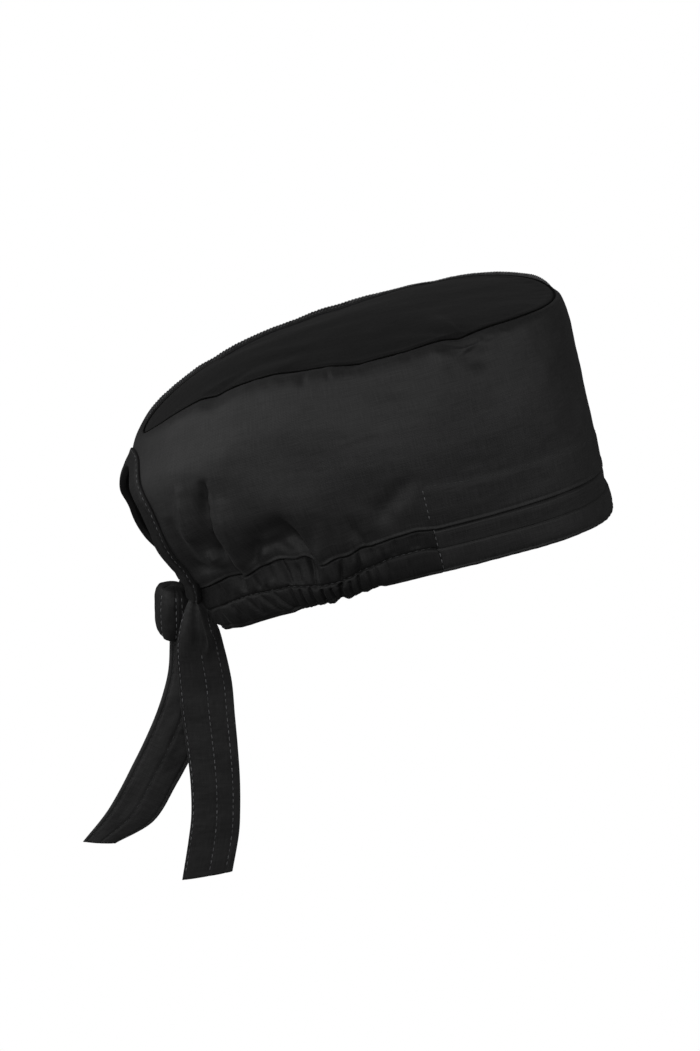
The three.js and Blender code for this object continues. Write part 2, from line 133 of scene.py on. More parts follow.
# Creases of a rear casing, as the folds above
CREASES = [
    (85.4, 0.24, 86.2, 0.165, 0.7, 0.8, -0.6),
    (87, 0.225, 87.6, 0.165, 0.6, 0.7, -0.5),
    (91.4, 0.235, 92.4, 0.16, 1, 1.1, -0.8),
    (95.2, 0.2, 95.6, 0.04, 0.9, 1.2, -0.5),
    (99.6, 0.22, 100.2, 0.01, 1, 1.3, -0.7),
    (103.2, -0.02, 103, 0.12, 0.9, 0.8, -0.8),
    (104.4, 0.225, 105.2, 0.14, 1, 1.2, -1.1, 0.8, 1.2),
    (107.2, -0.02, 106.5, 0.125, 1, 0.8, -1.5),
    (109.8, -0.02, 109.4, 0.115, 0.9, 0.7, -1.4),
    (109.9, 0.225, 112.3, 0.115, 0.9, 1.2, -1.7, 0.8, 1.2),
    (113.6, -0.02, 112.5, 0.12, 1.2, 0.8, -2.7, 1.1, 0.9),
    (115.2, -0.02, 115.5, 0.11, 0.8, 0.6, -1.8),
    (118.3, -0.02, 118.1, 0.115, 0.9, 0.6, -2.2),
    (118.9, 0.245, 119.3, 0.135, 1.1, 0.9, -1.8, 0.8, 1.2),
    (121, -0.02, 121.3, 0.13, 1.1, 0.7, -1.7),
    (123.7, 0.215, 123, 0.165, 1.6, 1.4, -1.3),
    (123.6, -0.02, 124, 0.125, 0.7, 0.5, -1.4),
    (127, 0.255, 125.6, 0.165, 1.1, 1, -1.9, 0.8, 1.3),
    (125.9, 0, 126.6, 0.145, 1, 0.7, -1.4),
    (132.6, 0.16, 127.4, 0.03, 0.9, 1.2, -1.5),
    (130.4, 0.255, 130, 0.19, 1.6, 1.1, -1.1),
    (136.2, 0.15, 131.4, 0.04, 0.9, 1.1, -1.3),
    (135.6, 0.24, 134.6, 0.175, 1.2, 1, -0.8),
    (140.8, 0.15, 136.4, 0.05, 1, 1.3, -1),
    (141, 0.24, 139.6, 0.175, 1.2, 1.1, -0.7),
    (146.4, 0.135, 142.4, 0.04, 1.5, 1.6, -0.8),
    (148, 0.225, 146.5, 0.16, 1.4, 1.4, -0.6),
    (153, 0.125, 150.5, 0.03, 1.8, 2, -0.7),
]

# The rear seams' waves: degrees from the front, and share of height of the casing's top and middle seams
FOOT_WAVE = np.array([
    (0, 0.237), (80, 0.237), (82.5, 0.24), (85.4, 0.248), (92.2, 0.242), (99.2, 0.231), (102.9, 0.235),
    (107.2, 0.217), (111.3, 0.219), (115.1, 0.206), (117.6, 0.211), (119.4, 0.246), (120.4, 0.252),
    (123.1, 0.247), (127, 0.266), (132.2, 0.26), (137.4, 0.241), (142.9, 0.257), (152, 0.235),
    (171, 0.22), (180, 0.22),
])
MIDDLE_WAVE = np.array([
    (0, 0.14), (81, 0.145), (83, 0.158), (86.7, 0.162), (93.9, 0.159), (97.6, 0.147), (104.6, 0.138),
    (108, 0.122), (112.2, 0.111), (118, 0.117), (122, 0.134), (127, 0.156), (139.4, 0.162),
    (148.3, 0.142), (160, 0.115), (171, 0.105), (180, 0.1),
])

# The top seam's waves: degrees from the front, and how far it stands up in mm
TOP_WAVE = np.array([
    (0, 0), (30, 0), (45, 0.5), (52, 0.8), (57, 0.3), (61.6, -0.7), (66, 0.8), (70, 0.7), (75.5, -0.2),
    (82, -0.4), (88.3, -1.2), (92, -0.6), (96, 0.3), (107, 0.5), (111, 1.2), (115, 2), (121, 2.1),
    (127, 2), (132.7, 0.9), (137.5, 2.4), (143, 1.9), (155, 0.8), (170, 0.3), (180, 0.2),
])

# The notch of the near top seam that the top's one fold starts from, and how the fold leans
NOTCH_X = 49
NOTCH_Y = -62
NOTCH_LEAN = 0.2

# Front band, from the rim up: share of height, and how far the cloth stands out in mm
BAND_PROFILE = np.array([
    (0, 0.2), (0.003, 0.6), (0.01, 0.75), (0.019, 0.7), (0.022, 0), (0.0265, 0), (0.03, 0.55),
    (0.05, 0.7), (0.09, 0.65), (0.13, 0.5), (0.1375, 0.35), (0.1395, -0.9), (0.1415, -0.9), (0.1435, -0.5),
    (0.165, -0.35), (0.205, 0.15), (0.222, 0.1), (0.232, -1.1), (0.237, -1.7), (0.243, -2.2),
])

# The back opening from behind, in the upright cap: height, right edge, left edge
OPENING = [
    (-30, -58, 40), (-8, -36, 24), (0.5, -28, 18.2), (8, -21, 13.2), (12, -20.6, 12.6),
    (17, -24, 13.5), (27, -26, 14.5), (38, -27, 14.5), (48, -27, 12.5), (56, -25.5, 10),
    (63, -21.5, 6.5), (68.5, -16, 2.5), (72, -10.5, -2),
]

# Tie tails where they hang: one edge x, y, z, then the other edge x, y, z
RIGHT_TAIL = np.array([
    (-96.4, -21.8, -13, -92.6, -26.5, -13.8), (-99.6, -19.8, -20, -88.4, -29, -20.3),
    (-102, -18.2, -29, -84.6, -27, -29.5), (-103.4, -16.8, -40, -81.6, -21, -40.5),
    (-102.4, -15, -56, -78.2, -17, -56), (-101, -14.5, -72, -76.8, -16, -72),
    (-99.2, -14.5, -86, -75.6, -15.5, -86), (-97.4, -14.5, -102, -74.6, -15, -102),
    (-97, -15, -118, -74.5, -15, -118), (-98.4, -15.5, -131, -75.2, -15, -130),
    (-101.4, -16, -150, -78.2, -15.5, -146.6),
])
LEFT_TAIL = np.array([
    (-97.8, 10.4, -9.5, -86.4, 21.5, -24.5), (-102.2, 9, -19.5, -89.8, 16, -33),
    (-105, 8.8, -28, -90.4, 12, -38), (-105.4, 7.4, -40.5, -88, 8, -45),
    (-106.5, 3, -56, -85.5, 3, -59), (-111, -2, -71, -89, -2, -78),
    (-116.5, -4.5, -84, -95.5, -4.5, -93), (-123, -5.5, -97, -103, -5.5, -107),
    (-134.5, -6.5, -118, -114, -6.5, -124.5), (-146.5, -7, -133.5, -131.5, -7, -134.5),
])
TIE_WIDTH = 23.0
TIE_LENGTH = 140.0

# Each strap's edges, its stitch rows' shares across it, its noise, its bow in mm and its fold's strength
RIGHT_STRAP = {"table": RIGHT_TAIL, "rows_at": (0.045, 0.52, 0.85), "seed": 61, "bow": 1.2, "crease": 1.0}
LEFT_STRAP = {"table": LEFT_TAIL, "rows_at": (0.1, 0.5, 0.93), "seed": 71, "bow": 0.8, "crease": 0.0}

# Knot: its centre, its turn, its stitch rows and its outer wrap's two edges in degrees, and its level
# sections as height, half length, half breadth
KNOT_CENTRE = np.array([-104.4, -4.1, -25.2])
KNOT_TURN = math.radians(12)
KNOT_ROWS = (204, 264, 274)
WRAP_START = 196
WRAP_END = 327
KNOT_SECTIONS = np.array([
    (-12.9, 2.6, 5.6), (-12.2, 4.6, 8.6), (-10.4, 6.2, 11), (-7, 7.2, 12.8), (-2, 7.6, 13.5),
    (3, 7.7, 13.4), (7.4, 7.3, 12.8), (10.4, 6.4, 11.2), (12.2, 4.8, 8.8), (12.9, 2.8, 5.8),
])

# Stitches, and the angle that the band's rows run to
STITCH_PITCH = 3.0
STITCH_LENGTH = 1.9
THREAD = 0.2
ROW_END = 80.8

# The photograph's frame and view, and the floor's height in metres
PHOTO_HEIGHT = 1051
MM_PER_PIXEL = 0.455
VIEW_AZIMUTH = math.radians(-4.0)
VIEW_ELEVATION = math.radians(14.0)
VIEW_DISTANCE = 2.4
VIEW_TARGET = (-0.0232, 0.0, 0.0124)
FLOOR_Z = -0.42


# Smooth curves and noise

def curve_through(xs, ys, at):
    """A cubic through the points xs, ys, read at the values in at."""
    xs, ys = np.asarray(xs, float), np.asarray(ys, float)
    slope = np.gradient(ys, xs, axis=0)
    at = np.clip(at, xs[0], xs[-1])
    i = np.clip(np.searchsorted(xs, at, side="right") - 1, 0, len(xs) - 2)
    step = xs[i + 1] - xs[i]
    t = (at - xs[i]) / step
    if ys.ndim > 1:
        step, t = step[..., None], t[..., None]
    a = (2 * t**3 - 3 * t**2 + 1) * ys[i] + (t**3 - 2 * t**2 + t) * step * slope[i]
    return a + (3 * t**2 - 2 * t**3) * ys[i + 1] + (t**3 - t**2) * step * slope[i + 1]


def ripple(points, length, seed, count=9):
    """Smooth noise between about -1 and 1 at places in mm, with features of about the given length."""
    made = np.random.RandomState(seed)
    total = np.zeros(points.shape[:-1])
    for _ in range(count):
        way = made.normal(size=3)
        way *= 2 * math.pi / length / np.linalg.norm(way) * made.uniform(0.7, 1.4)
        total += np.sin(points @ way + made.uniform(0, 2 * math.pi))
    return total / math.sqrt(count)


def bump(distance, width):
    """A smooth bump of height 1, which falls off over the width."""
    return np.exp(-((distance / width) ** 2))


def ease(value, low, high):
    """Rises smoothly from 0 at low to 1 at high."""
    t = np.clip((value - low) / (high - low), 0, 1)
    return t * t * (3 - 2 * t)


def unit(ways):
    """The same ways, each of length 1."""
    return ways / np.linalg.norm(ways, axis=-1, keepdims=True)


def distance_along(line):
    """How far each point of a line lies from its start."""
    return np.concatenate([[0], np.cumsum(np.linalg.norm(np.diff(line, axis=0), axis=1))])


# The cap's master surface

def rim_height(angle):
    c = np.cos(angle)
    return RIM_SIDE + (np.where(c > 0, RIM_FRONT, RIM_BACK) - RIM_SIDE) * c * c


def seam_height(angle, share=1.0):
    c = np.cos(angle)
    return SIDE_HEIGHT - np.where(c > 0, FRONT_DROP, BACK_DROP) * (np.abs(c) * share) ** DROP_POWER


def side_point(angle, v):
    """The smooth side at an angle from the front and a share of its height."""
    c = np.cos(angle)
    square = 1 + SQUARE * np.sin(2 * angle) ** 2
    front = 0.5 * (1 + np.tanh(6 * c))
    ahead = 0.5 * (1 + np.tanh(1.9 * c + 0.15))
    at = lambda column: curve_through(PROFILE[:, UP], PROFILE[:, column], v)
    reach = HALF_LENGTH * (at(FRONT) * front + at(BACK) * (1 - front))
    half = HALF_WIDTH * (at(WIDE_FRONT) * ahead + at(WIDE_BACK) * (1 - ahead))
    behind = ease(-c, 0.0, 0.22)
    pointed = c * (1 - behind * BACK_POINT * (1 + c) * c / np.minimum(c - 0.12, -0.12))
    low = rim_height(angle)
    z = low + (seam_height(angle) - low) * at(RISE)
    return np.stack([reach * pointed * square, half * np.sin(angle) * square, z], -1)


def side_normal(angle, v):
    step = 0.01
    around = side_point(angle + step, v) - side_point(angle - step, v)
    up = side_point(angle, np.minimum(v + step, 1)) - side_point(angle, np.maximum(v - step, 0))
    return unit(np.cross(around, up))


def worn(points):
    """The upright cap turned to its worn tilt."""
    c, s = math.cos(TILT), math.sin(TILT)
    x, y, z = points[..., 0], points[..., 1], points[..., 2]
    return np.stack([x * c - z * s, y, x * s + z * c], -1)


# Relief of each sewn piece, in mm out of the master surface

def folds_at(table, a, v):
    """Folds or creases of a table at a degrees round and a share v of the height."""
    out = np.zeros_like(a)
    for a0, v0, a1, v1, w0, w1, depth, *flanks in table:
        front_soft, back_soft = flanks or (1.0, 1.0)
        run = np.array([(a1 - a0) * MM_PER_DEGREE, (v1 - v0) * SIDE_HEIGHT])
        length = np.hypot(*run)
        x = (a - a0) * MM_PER_DEGREE
        y = (v - v0) * SIDE_HEIGHT
        t = (x * run[0] + y * run[1]) / length**2
        across = (x * run[1] - y * run[0]) / length
        beyond = np.maximum(np.maximum(-t, t - 1), 0) * length
        width = w0 + (w1 - w0) * np.clip(t, 0, 1)
        softness = np.where(across * np.sign(run[1] or 1) > 0, back_soft, front_soft)
        fade = ease(t, -0.1, 0.4) * 0.6 + 0.4
        out += depth * fade * np.exp(-((across / (width * softness)) ** 2)) * bump(beyond, width)
    return out


def round_degrees(angle):
    """Degrees from the front, and the same with the left side's gathers a little apart from the right's."""
    a = np.abs(np.degrees((angle + math.pi) % (2 * math.pi) - math.pi))
    return a, np.where(np.sin(angle) > 0, a + 2.5 * ease(a, 84, 96), a)


def table_at(table, at):
    return np.interp(at, table[:, 0], table[:, 1])


def smooth_table(table, a):
    return (table_at(table, a - 0.7) + table_at(table, a) + table_at(table, a + 0.7)) / 3


def waved(angle, v):
    """The real share of height of a place, after the waves of the two rear seams."""
    _, a = round_degrees(angle)
    middle = ease(v, 0.02, MID_SEAM) * (1 - ease(v, MID_SEAM, SEAM_FOOT))
    foot = ease(v, MID_SEAM, SEAM_FOOT) * (1 - ease(v, SEAM_FOOT, 0.38))
    v = v + middle * (smooth_table(MIDDLE_WAVE, a) - MID_SEAM)
    return v + foot * (smooth_table(FOOT_WAVE, a) - SEAM_FOOT)


def top_wave(angle):
    _, shifted = round_degrees(angle)
    return smooth_table(TOP_WAVE, shifted) * np.where(np.sin(angle) > 0, 0.4, 1.0)


def foot_relief(angle):
    """How far the two cloths that meet at the rear seam are drawn in there."""
    a, shifted = round_degrees(angle)
    deep = folds_at(FOLDS, shifted, np.full_like(a, 0.25))
    return 0.65 * deep - 1.5 * ease(a, *GATHER)


def side_relief(angle, v, points):
    """Folds, slack cloth, gathers, the band's fold behind it, stitched rows and the rolled top edge."""
    a, shifted = round_degrees(angle)

    # Folds and slack cloth, calm at both seams
    rise = ease(v, SEAM_FOOT, 0.295)
    drawn = ease(a, *GATHER)
    folds = folds_at(FOLDS, shifted, v) + drawn * (2.2 * bump(v - 0.43, 0.1) - 0.7 * bump(v - 0.31, 0.04))
    folds *= 1 - 0.7 * ease(np.sin(angle), -0.1, 0.1) * ease(v, 0.6, 0.75)
    out = folds * rise + foot_relief(angle) * (1 - rise)
    calm = 1 - 0.9 * ease(v, 0.94, 1.0) - 0.5 * (1 - ease(v, 0.24, 0.30))
    out += calm * (0.6 * ripple(points, 75, 3) + 0.25 * ripple(points, 26, 4) + 0.06 * ripple(points, 9, 5))
    pucker = ease(v, 0.86, 0.97) * (1 - ease(v, 0.985, 1.0)) * (np.sin(angle) < 0)
    out += 0.3 * pucker * ripple(points * np.array([1, 1, 0.12]), 8, 6) * bump(a - 96, 34)

    # Gathers over the casing, and the doubled cloth over the band with its stitched rows
    ahead = 1 - ease(a, BAND_END - 0.3, BAND_END + 0.3)
    low = (v - SEAM_FOOT) * SIDE_HEIGHT
    gather = (1 - ahead) * ease(v, SEAM_FOOT, 0.25) * (1 - ease(v, 0.26, 0.33))
    out += 0.3 * gather * ripple(points * np.array([1, 1, 0.2]), 7, 7) * ease(a, 86, 100)
    out += (1 - ahead) * (0.25 * bump(low - 0.35, 0.45) - 0.12 * bump(low - 1.3, 0.5))
    row = upper_row(a)
    doubled = 0.5 * (1 - ease(v, row, row + 0.012))
    out += ahead * (doubled - 0.25 * bump(low - 1.2, 0.4) + 0.25 * bump(low - 0.3, 0.6))
    out += ahead * -0.35 * bump((v - row) * SIDE_HEIGHT, 0.7)
    out += -0.4 * bump((a - BAND_END) * MM_PER_DEGREE, 0.7) * (1 - ease(v, 0.39, 0.40))

    # The top seam's valley and the roll under it, which is stronger on the far side
    under_top = (1 - v) * MM_NEAR_TOP
    far = ease(np.sin(angle), 0.05, 0.5)
    return out - (0.6 + 0.9 * far) * bump(under_top, 0.6) + (0.2 + 1.8 * far) * bump(under_top - 3.4, 2.6)


def upper_row(a):
    """Height of the band's upper stitch row at a degrees from the front."""
    return curve_through((0, 20, 37, 57, 72, 80.5, 180), (0.352, 0.356, 0.371, 0.371, 0.381, 0.394, 0.394), a)


def casing_relief(angle, v, points):
    """Creases, the two puffed channels, their seams, and the step to the band."""
    a, shifted = round_degrees(angle)
    lower = v < MID_SEAM
    creases = folds_at(CREASES, shifted, v) * (1 - 0.5 * bump((v - MID_SEAM) * SIDE_HEIGHT, 0.9))
    share = np.where(lower, v / MID_SEAM, (v - MID_SEAM) / (SEAM_FOOT - MID_SEAM))
    arch = np.sin(np.clip(share, 0, 1) * math.pi)
    puff = np.where(lower, 1.3, 0.6) * arch**0.6
    puff -= 1.5 * (1 - v / SEAM_FOOT) * ease(a, 86, 112)
    puff = puff * (0.25 + 0.75 * ease(a, 82, 100)) * (1 + 0.2 * ripple(points, 22, 11))
    fine = 0.2 * ripple(points * np.array([1.3, 1.3, 0.5]), 5, 12) + 0.3 * ripple(points, 13, 13)
    fine = fine * ease(a, 84, 100) * (0.35 + 0.65 * arch)
    channel = -0.6 * bump((v - MID_SEAM) * SIDE_HEIGHT, 0.6)
    hem = -0.4 * bump((v - HEM_SEAM) * SIDE_HEIGHT, 0.5)
    top = ease(v, MID_SEAM, SEAM_FOOT)
    under = -1.3 * ease((v - SEAM_FOOT) * SIDE_HEIGHT, -1.0, 0.1) + foot_relief(angle) * top
    near = 1 - ease(a, BAND_END, BAND_END + 4.5)
    start = -1.6 * (1 - ease(a, BAND_END - 0.4, BAND_END + 0.05))
    start += near * table_at(BAND_PROFILE, v) * (1 - top)
    return creases + puff + fine + channel + hem + under + start


def casing_drop(angle, v):
    """How the casing's lower edge is drawn up at its creases."""
    a, shifted = round_degrees(angle)
    turns = (-1.2, -0.4, 0.4, 1.2)
    drawn = sum(folds_at(CREASES, shifted + turn, np.full_like(a, 0.01)) for turn in turns) / len(turns)
    drawn = -1.5 * drawn - 0.7 * ease(a, 100, 112) - 1.8 * bump(a - 113.5, 8)
    drawn -= 1.6 * ease(a, 136, 148)
    return drawn * np.clip(1 - v / 0.07, 0, 1) ** 1.5


def band_relief(angle, v, points):
    """The band's two steps and hem, its slack cloth and its end seams."""
    a = np.abs(np.degrees(angle))
    out = table_at(BAND_PROFILE, v)
    out += 0.22 * ripple(points, 40, 21) + 0.08 * ripple(points, 12, 22)
    out += 0.10 * ripple(points * np.array([1, 1, 0.2]), 6, 23) * (1 - ease(v, 0.02, 0.06))
    return out - 0.45 * bump((a - BAND_END) * MM_PER_DEGREE, 0.9)


def crown_point(angle, share):
    """The domed top, with its waved edge, slack cloth and one fold from a notch of its seam."""
    seam = side_point(angle, np.ones_like(angle))
    reach = np.hypot(seam[..., 0], seam[..., 1])
    inset = (reach - 0.25) / reach
    inward = (1 - share) * reach
    x = seam[..., 0] * share * inset
    y = seam[..., 1] * share * inset
    z = seam_height(angle, share) + DOME * (1 - share**2)
    z += 1.0 * np.sin(share * 7 + 2 * np.cos(angle)) * share * (1 - share)
    z += top_wave(angle) * ease(inward, 26, 0)
    z += 0.2 * bump(inward - 2.6, 1.8) - 0.6 * bump(inward, 0.5)
    p = np.stack([x, y, z], -1)
    p[..., 2] += (0.4 * ripple(p, 80, 31) + 0.1 * ripple(p, 24, 32)) * ease(inward, 0, 8)
    edge = ease(inward, 0.5, 2.5) * (1 - ease(inward, 5, 12))
    p[..., 2] += 0.04 * edge * ripple(p * np.array([1, 1, 0.2]), 8, 33)
    beside = x - NOTCH_X + NOTCH_LEAN * (y - NOTCH_Y)
    fold = np.where(beside < 0, bump(beside, 9), bump(beside, 2.0)) * (1 - ease(y, NOTCH_Y + 12, -12))
    p[..., 2] += 1.5 * fold * ease(inward, 0, 4) * (y < 0)
    return p


# Meshes

def add_object(name, data):
    made = bpy.data.objects.new(name, data)
    bpy.context.collection.objects.link(made)
    return made


def make_mesh(name, points, faces, uv, material):
    """A smooth object from points in mm, with its cloth's own flat coordinates as its UV map."""
    mesh = bpy.data.meshes.new(name)
    mesh.from_pydata((np.asarray(points) * MM).tolist(), [], faces)
    layer = mesh.uv_layers.new(name="cloth")
    corners = np.empty(len(mesh.loops), int)
    mesh.loops.foreach_get("vertex_index", corners)
    layer.data.foreach_set("uv", (np.asarray(uv)[corners] * MM).ravel())
    mesh.polygons.foreach_set("use_smooth", np.ones(len(mesh.polygons), bool))
    mesh.materials.append(material)
    mesh.update()
    return add_object(name, mesh)


def on_cap(piece, node=None):
    """Puts a piece on the cap's one body, in place of its CAD node if it has one."""
    if node:
        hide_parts(node)
    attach(piece, BODY)
    return piece


def tube_faces(rows, cols, closed=False):
    """Quads between rings of points, one ring for each row; an open tube has a face over each end."""
    ids = np.arange(rows * cols).reshape(rows, cols)
    a, b = (ids, np.roll(ids, -1, 0)) if closed else (ids[:-1], ids[1:])
    faces = np.stack([a, np.roll(a, -1, 1), np.roll(b, -1, 1), b], -1).reshape(-1, 4).tolist()
    return faces if closed else faces + [ids[0][::-1].tolist(), ids[-1].tolist()]


def two_sided(outer, inner, wraps=False, keep=None):
    """Points and quads of a closed cloth between an outer and an inner grid."""
    rows, cols = outer.shape[:2]
    ids = np.arange(rows * cols).reshape(rows, cols)
    if wraps:
        ids = np.concatenate([ids, ids[:, :1]], 1)
    skin = rows * cols
    a, b, c, d = ids[:-1, :-1], ids[:-1, 1:], ids[1:, 1:], ids[1:, :-1]
    quads = np.stack([a, b, c, d], -1)
    shown = np.ones(quads.shape[:2], bool) if keep is None else keep
    quads = quads[shown]
    faces = np.concatenate([quads, quads[:, ::-1] + skin])
    edges = np.concatenate([quads[:, [0, 1]], quads[:, [1, 2]], quads[:, [2, 3]], quads[:, [3, 0]]])
    key = np.sort(edges, 1) @ np.array([2 * skin, 1])
    _, first, count = np.unique(key, return_index=True, return_counts=True)
    rim = edges[first[count == 1]]
    walls = np.stack([rim[:, 1], rim[:, 0], rim[:, 0] + skin, rim[:, 1] + skin], -1)
    faces = np.concatenate([faces, walls])
    points = np.concatenate([outer.reshape(-1, 3), inner.reshape(-1, 3)])
    used, renumbered = np.unique(faces, return_inverse=True)
    return points[used], renumbered.reshape(faces.shape).tolist(), used


def cloth_piece(name, node, outer, inner, uv, material, wraps=False, keep=None):
    points, faces, used = two_sided(outer, inner, wraps, keep)
    flat = np.concatenate([uv.reshape(-1, 2), uv.reshape(-1, 2)])[used]
    return on_cap(make_mesh(name, points, faces, flat, material), node)


def side_grid(angles, rows, relief, wall, drop=None, level_top=False):
    """Outer and inner grids over the side, and the cloth's flat coordinates."""
    angle, v = np.meshgrid(angles, rows)
    real = waved(angle, v)
    base = side_point(angle, real)
    way = side_normal(angle, real)
    if level_top:
        level = ease(v, 0.9, 0.985)[..., None]
        way = unit(way * (1 - level) + np.array([0, 0, 1.0]) * level)
    outer = base + way * relief(angle, v, base)[..., None]
    if drop is not None:
        outer[..., 2] += drop(angle, v)
    if level_top:
        outer[..., 2] += top_wave(angle) * ease(v, 0.78, 1.0)
    inner = outer - way * wall
    uv = np.stack([np.degrees(angle) * MM_PER_DEGREE, v * SIDE_HEIGHT], -1)
    return worn(outer), worn(inner), uv


# The back opening

def opening_outline(count=420):
    """Points along the opening's edge, up the right side and down the left, and the way out from it."""
    edge = np.array([(r[1], r[0]) for r in OPENING] + [(r[2], r[0]) for r in OPENING[::-1]])
    steps = np.arange(len(edge), dtype=float)
    line = curve_through(steps, edge, np.linspace(0, steps[-1], 4000))
    line = line[line[:, 1] > -29.5]
    along = distance_along(line)
    at = np.linspace(0, along[-1], count)
    line = np.stack([np.interp(at, along, line[:, k]) for k in range(2)], -1)
    way = unit(np.gradient(line, axis=0))
    return line, np.stack([-way[:, 1], way[:, 0]], -1)


def in_opening(points, grow):
    """Whether upright points on the back lie inside the opening grown by a width."""
    line, out = opening_outline(160)
    loop = line + out * grow
    y, z = points[..., 1], points[..., 2]
    inside = np.zeros(y.shape, bool)
    for (y0, z0), (y1, z1) in zip(loop, np.roll(loop, -1, 0)):
        crosses = (z0 > z) != (z1 > z)
        at = y0 + (z - z0) * (y1 - y0) / ((z1 - z0) or 1e-9)
        inside ^= crosses & (y < at)
    return inside & (points[..., 0] < OPENING_X)


def on_back(y, z):
    """Angle and height share of the back's points with the given y and z, found in steps from a guess."""
    angle = np.pi - y / 105.0
    v = np.clip((z + 4) / 92, 0.02, 0.98)
    for _ in range(12):
        p = side_point(angle, v)
        h = 1e-3
        by_angle = (side_point(angle + h, v) - p)[..., 1:] / h
        by_v = (side_point(angle, v + h) - p)[..., 1:] / h
        miss = np.stack([y, z], -1) - p[..., 1:]
        det = by_angle[..., 0] * by_v[..., 1] - by_angle[..., 1] * by_v[..., 0]
        angle = angle + (miss[..., 0] * by_v[..., 1] - miss[..., 1] * by_v[..., 0]) / det
        v = np.clip(v + (by_angle[..., 0] * miss[..., 1] - by_angle[..., 1] * miss[..., 0]) / det, 0, 0.995)
    return angle, v


# Pieces

def make_crown(material):
    """The top panel, with closer rings near its seam."""
    cols, rows = 320, 44
    edge = 1 - np.array([7.5, 6.2, 5.1, 4.2, 3.4, 2.8, 2.2, 1.7, 1.3, 0.95, 0.65, 0.4, 0.2, 0]) / TOP_REACH
    angle, share = np.meshgrid(
        np.linspace(0, 2 * math.pi, cols, endpoint=False),
        np.concatenate([np.linspace(0, 0.9, rows), edge]),
    )
    outer = crown_point(angle, share)
    inner = outer - np.array([0, 0, PANEL_WALL])
    uv = outer[..., :2]
    return cloth_piece("crown_cloth", "crown_top", worn(outer), worn(inner), uv, material, wraps=True)


def close_crown(piece):
    """Joins the points that meet at the crown's middle, above and below."""
    mesh = bmesh.new()
    mesh.from_mesh(piece.data)
    bmesh.ops.remove_doubles(mesh, verts=mesh.verts, dist=0.00001)
    mesh.to_mesh(piece.data)
    mesh.free()


def flat_section(count):
    """A flat strip's section: shares across it, front then back, and how far each stands from its middle."""
    front = 0.5 - 0.5 * np.cos(np.linspace(0, math.pi, count))
    full = np.sqrt(np.clip(1 - np.abs(2 * front - 1) ** 24, 0, 1))
    return np.concatenate([front, front[-2:0:-1]]), np.concatenate([full, -full[-2:0:-1]])


def make_side(material):
    """The side panel, with closer rows near its two seams, and cut away under the opening's strip."""
    angles = np.linspace(-math.pi, math.pi, 420, endpoint=False)
    low = SEAM_FOOT + np.array([0, 0.3, 0.7, 1.1, 1.5, 2.0, 2.5, 3.2, 4.0]) / SIDE_HEIGHT
    high = 1 - np.array([5.5, 4.4, 3.5, 2.8, 2.2, 1.7, 1.3, 0.95, 0.65, 0.4, 0.2, 0]) / MM_NEAR_TOP
    rows = np.concatenate([low, np.linspace(0.282, 0.918, 76), high])
    outer, inner, uv = side_grid(angles, rows, side_relief, PANEL_WALL, level_top=True)
    angle, v = np.meshgrid(angles, rows)
    base = side_point(angle, v)
    middle = (base[:-1] + base[1:]) / 2
    middle = (middle + np.roll(middle, -1, 1)) / 2
    keep = ~in_opening(middle, SIDE_CUT)
    return cloth_piece("side_cloth", "side_panel", outer, inner, uv, material, wraps=True, keep=keep)


def make_band(material):
    """The front band, with a row of points at each bend of its profile."""
    angles = np.radians(np.linspace(-BAND_END + 0.05, BAND_END - 0.05, 250))
    rows = np.unique(np.concatenate([BAND_PROFILE[:, 0], np.linspace(0, SEAM_FOOT, 40)]))
    outer, inner, uv = side_grid(angles, rows, band_relief, BAND_WALL)
    return cloth_piece("band_cloth", "front_band", outer, inner, uv, material)


def make_casing(side, material):
    """A rear casing from the band's end to the opening, on the left (1) or the right (-1)."""
    angles = side * np.radians(np.linspace(BAND_END - 0.5, CASING_END[side], 340))
    if side < 0:
        angles = angles[::-1]
    parts = [(0, 0.03, 8), (0.036, 0.13, 15), (0.1335, 0.1465, 9), (0.152, 0.225, 11), (0.228, 0.249, 9)]
    rows = np.concatenate([np.linspace(*part) for part in parts])
    outer, inner, uv = side_grid(angles, rows, casing_relief, CASING_WALL, drop=casing_drop)
    angle, v = np.meshgrid(angles, rows)
    base = side_point(angle, v)
    middle = (base[:-1, :-1] + base[1:, 1:]) / 2
    keep = ~in_opening(middle, CASING_CUT)
    name = "left" if side > 0 else "right"
    return cloth_piece(f"casing_cloth_{name}", f"casing_{name}", outer, inner, uv, material, keep=keep)


def binding_path():
    """The part of the opening's edge that the strip is sewn round."""
    line, out = opening_outline()
    keep = line[:, 1] > BINDING_FOOT
    return line[keep], out[keep]


def strip_base(angle, v, z):
    """How far the middle of the opening's strip stands out, at upright height z."""
    high = np.maximum(v, 0.26)
    under = side_relief(angle, high, side_point(angle, high)) * ease(v, 0.12, 0.26)
    return under + BINDING_LIFT * (1 - ease(z, *BINDING_LIFTED))


